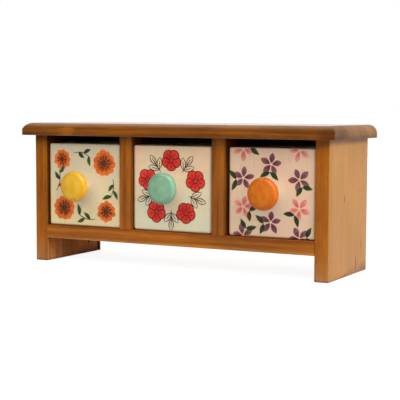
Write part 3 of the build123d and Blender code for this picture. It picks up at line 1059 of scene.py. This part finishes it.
def paint_centre():
    """A wreath of red blossoms and leaves drawn in line."""
    art = Painting("centre", ("red", "ink"), seed=23)
    middle = (0, 0)
    ring = 28.5
    count = 5
    for index in range(count):
        angle = 90 + 360 * index / count
        between = angle + 180 / count
        rosette(art, spot_at(middle, angle, ring), 10.8, between)
        stalk = spot_at(middle, between, ring - 8)
        art.mark(stalk, between, 17, 0.9, LINE, "ink", layer=1)
        for side in (-1, 1):
            art.open_leaf(spot_at(stalk, between, 3), between + 40 * side, 12.5, 5.4)
        art.open_leaf(spot_at(stalk, between, 9), between, 11.5, 5.2)
    art.finish()


def blossom(art, centre, turn, petal, vein):
    """Five pointed petals, each with a vein, and two green leaves."""
    for index in range(5):
        angle = turn + 72 * index
        art.mark(spot_at(centre, angle, 1.0), angle, art.around(10.2, 0.08), art.around(5.6, 0.08),
                 POINTED_PETAL, petal, layer=index % 3)
        art.mark(spot_at(centre, angle, 2.6), angle, art.around(5.6, 0.15), 1.0, LEAF, vein, layer=3, sides=8)
    back = turn + 180
    for side in (-1, 1):
        art.mark(spot_at(centre, back, 7.6), back + 56 * side, art.around(11.5, 0.08), 4.8, LEAF, "pine",
                 bend=0.05 * side, layer=3)
    art.dot(centre, 2.2, "cream", layer=4, sides=12)


def paint_right():
    """Purple and coral blossoms scattered in half-drop rows, clear of the knob."""
    art = Painting("right", ("purple", "plum", "coral", "rust", "pine", "cream"), seed=37)
    across, up = 29.0, 27.5
    knob_clearance, height_limit = 12, 45
    for column in range(-1, 2):
        for row in range(-2, 3):
            centre = (column * across, row * up + (up / 2 if column else 0.0))
            if math.hypot(*centre) < knob_clearance or abs(centre[1]) > height_limit:
                continue
            petal, vein = ("purple", "plum") if (column + row) % 2 else ("coral", "rust")
            blossom(art, centre, art.random.uniform(0, 360), petal, vein)
    art.finish()


class CHEST_OT_paint_fronts(bpy.types.Operator):
    """Paint the three drawer fronts in raised brush marks"""
    bl_idname = "chest.paint_fronts"
    bl_label = "Paint Drawer Fronts"

    def execute(self, context):
        for name in PAINTS:
            brush_paint(name)
        paint_left()
        paint_centre()
        paint_right()
        return {"FINISHED"}


def seen_white(w, forward, glow=0.0):
    """What the camera, gloss and glass see: white, though gloss and glass see a dimmer room on the camera's
    side and any glow on top. Also gives one for any of these rays."""
    look = bpy.context.scene.chest_studio
    path = w.add("LightPath").outputs
    mirrored = w.calc("MAXIMUM", path["Is Glossy Ray"], path["Is Transmission Ray"])
    room = w.calc("ADD", w.span(forward, -0.5, 0.5, look.room, 1.0), glow)
    bright = w.calc("MAXIMUM", path["Is Camera Ray"], w.times(mirrored, room))
    return bright, w.calc("MAXIMUM", path["Is Camera Ray"], mirrored)


def floor_finish():
    """White floor that keeps a faint shadow and melts into the background."""
    material = new_material("studio_floor")
    w = Wiring(material.node_tree)
    place = w.add("NewGeometry").outputs["Position"]
    bright, seen = seen_white(w, w.line(w.xyz(place)["Y"], 10.0, 0.9))
    glow = w.times(bright, w.span(w.vector("LENGTH", place), 0.5, 1.6, 0.9, 1.0))
    matt = w.add("BsdfDiffuse", {"Color": w.mix(seen, (0.45, 0.45, 0.45), (0.28, 0.28, 0.28))})
    lit = w.add("Emission", {"Color": (1, 1, 1), "Strength": glow})
    both = w.add("AddShader", {0: matt.outputs[0], 1: lit.outputs[0]})
    w.add("OutputMaterial", {"Surface": both.outputs[0]})
    return material


# Places, widths and heights of the lamps, which face the middle of the chest
LAMPS = {
    "front": ((0.5, -1.35, 1.1), 3.4, 2.0),
    "side": ((2.0, -0.35, 1.0), 0.8, 0.8),
    "back": ((-1.5, 1.2, 1.1), 2.4, 1.2),
}


def add_lamp(name, place, width, height):
    """A soft oblong lamp that gloss doesn't show."""
    lamp = bpy.data.lights.new(name + "_lamp", "AREA")
    lamp.shape = "RECTANGLE"
    lamp.size = width
    lamp.size_y = height
    lamp.energy = getattr(bpy.context.scene.chest_studio, name + "_power")
    body = bpy.data.objects.new(name + "_lamp", lamp)
    aim = (cad_box[0] + cad_box[1]) / 2
    body.location = place
    body.rotation_euler = (aim - Vector(place)).to_track_quat("-Z", "Y").to_euler()
    body.visible_camera = False
    body.visible_glossy = False
    bpy.context.scene.collection.objects.link(body)


def white_surround():
    """A world that is white to the camera, gives a little even light, and shows gloss a soft screen."""
    look = bpy.context.scene.chest_studio
    world = bpy.data.worlds.new("white_surround")
    bpy.context.scene.world = world
    world.use_nodes = True
    w = Wiring(world.node_tree)
    direction = w.add("TexCoord").outputs["Generated"]
    facing = w.vector("DOT_PRODUCT", direction, Vector((0.43, -0.39, 0.82)).normalized())
    screen = w.span(facing, 0.72, 0.93, 0.0, look.screen)
    bright, seen = seen_white(w, w.xyz(direction)["Y"], screen)
    background = world.node_tree.nodes["Background"].inputs
    w.feed(background["Strength"], w.calc("ADD", bright, w.times(w.calc("SUBTRACT", 1.0, seen), look.sky)))
    w.feed(background["Color"], (1, 1, 1))


def photo_camera():
    """The camera at the photograph's place and angle."""
    look = bpy.context.scene.chest_studio
    camera = bpy.data.cameras.new("photo_camera")
    camera.sensor_width = 36.0
    camera.lens = look.lens
    eye = bpy.data.objects.new("photo_camera", camera)
    turn = Matrix.Rotation(look.heading, 4, "Z") @ Matrix.Rotation(math.pi / 2 - look.dip, 4, "X")
    eye.matrix_world = Matrix.Translation(look.eye) @ turn @ Matrix.Rotation(look.roll, 4, "Z")
    bpy.context.scene.collection.objects.link(eye)
    bpy.context.scene.camera = eye


class CHEST_OT_build_studio(bpy.types.Operator):
    """Set up the floor, the lamps, the white surround and the camera"""
    bl_idname = "chest.build_studio"
    bl_label = "Build Studio"

    def execute(self, context):
        bm = bmesh.new()
        bmesh.ops.create_circle(bm, cap_ends=True, segments=96, radius=4.0)
        new_piece("studio_floor", bm, floor_finish())
        for name, choices in LAMPS.items():
            add_lamp(name, *choices)
        white_surround()
        photo_camera()
        context.scene.view_settings.view_transform = "Standard"
        return {"FINISHED"}


class CHEST_PT_panel(bpy.types.Panel):
    """Settings and steps of the chest"""
    bl_idname = "CHEST_PT_panel"
    bl_label = "Tabletop Chest"
    bl_space_type = "VIEW_3D"
    bl_region_type = "UI"
    bl_category = "Chest"

    def draw(self, context):
        for name in SETTINGS:
            box = self.layout.box()
            settings = getattr(context.scene, name)
            for key in settings.__annotations__:
                box.prop(settings, key)
        for step in OPERATORS:
            self.layout.operator(step.bl_idname)


OPERATORS = (CHEST_OT_build_studio, CHEST_OT_finish_boards, CHEST_OT_finish_fittings, CHEST_OT_glaze_ceramics,
             CHEST_OT_paint_fronts)
SETTINGS = {"chest_wood": ChestWoodSettings, "chest_glaze": ChestGlazeSettings,
            "chest_studio": ChestStudioSettings}


def register():
    for name, group in SETTINGS.items():
        bpy.utils.register_class(group)
        setattr(bpy.types.Scene, name, PointerProperty(type=group))
    for item in (*OPERATORS, CHEST_PT_panel):
        bpy.utils.register_class(item)


def unregister():
    for item in reversed((*OPERATORS, CHEST_PT_panel)):
        bpy.utils.unregister_class(item)
    for name, group in SETTINGS.items():
        delattr(bpy.types.Scene, name)
        bpy.utils.unregister_class(group)


def main():
    register()
    build_effects()
    bpy.ops.chest.build_studio()
    bpy.ops.chest.finish_boards()
    bpy.ops.chest.finish_fittings()
    bpy.ops.chest.glaze_ceramics()
    bpy.ops.chest.paint_fronts()


if __name__ == "__main__":
    main()
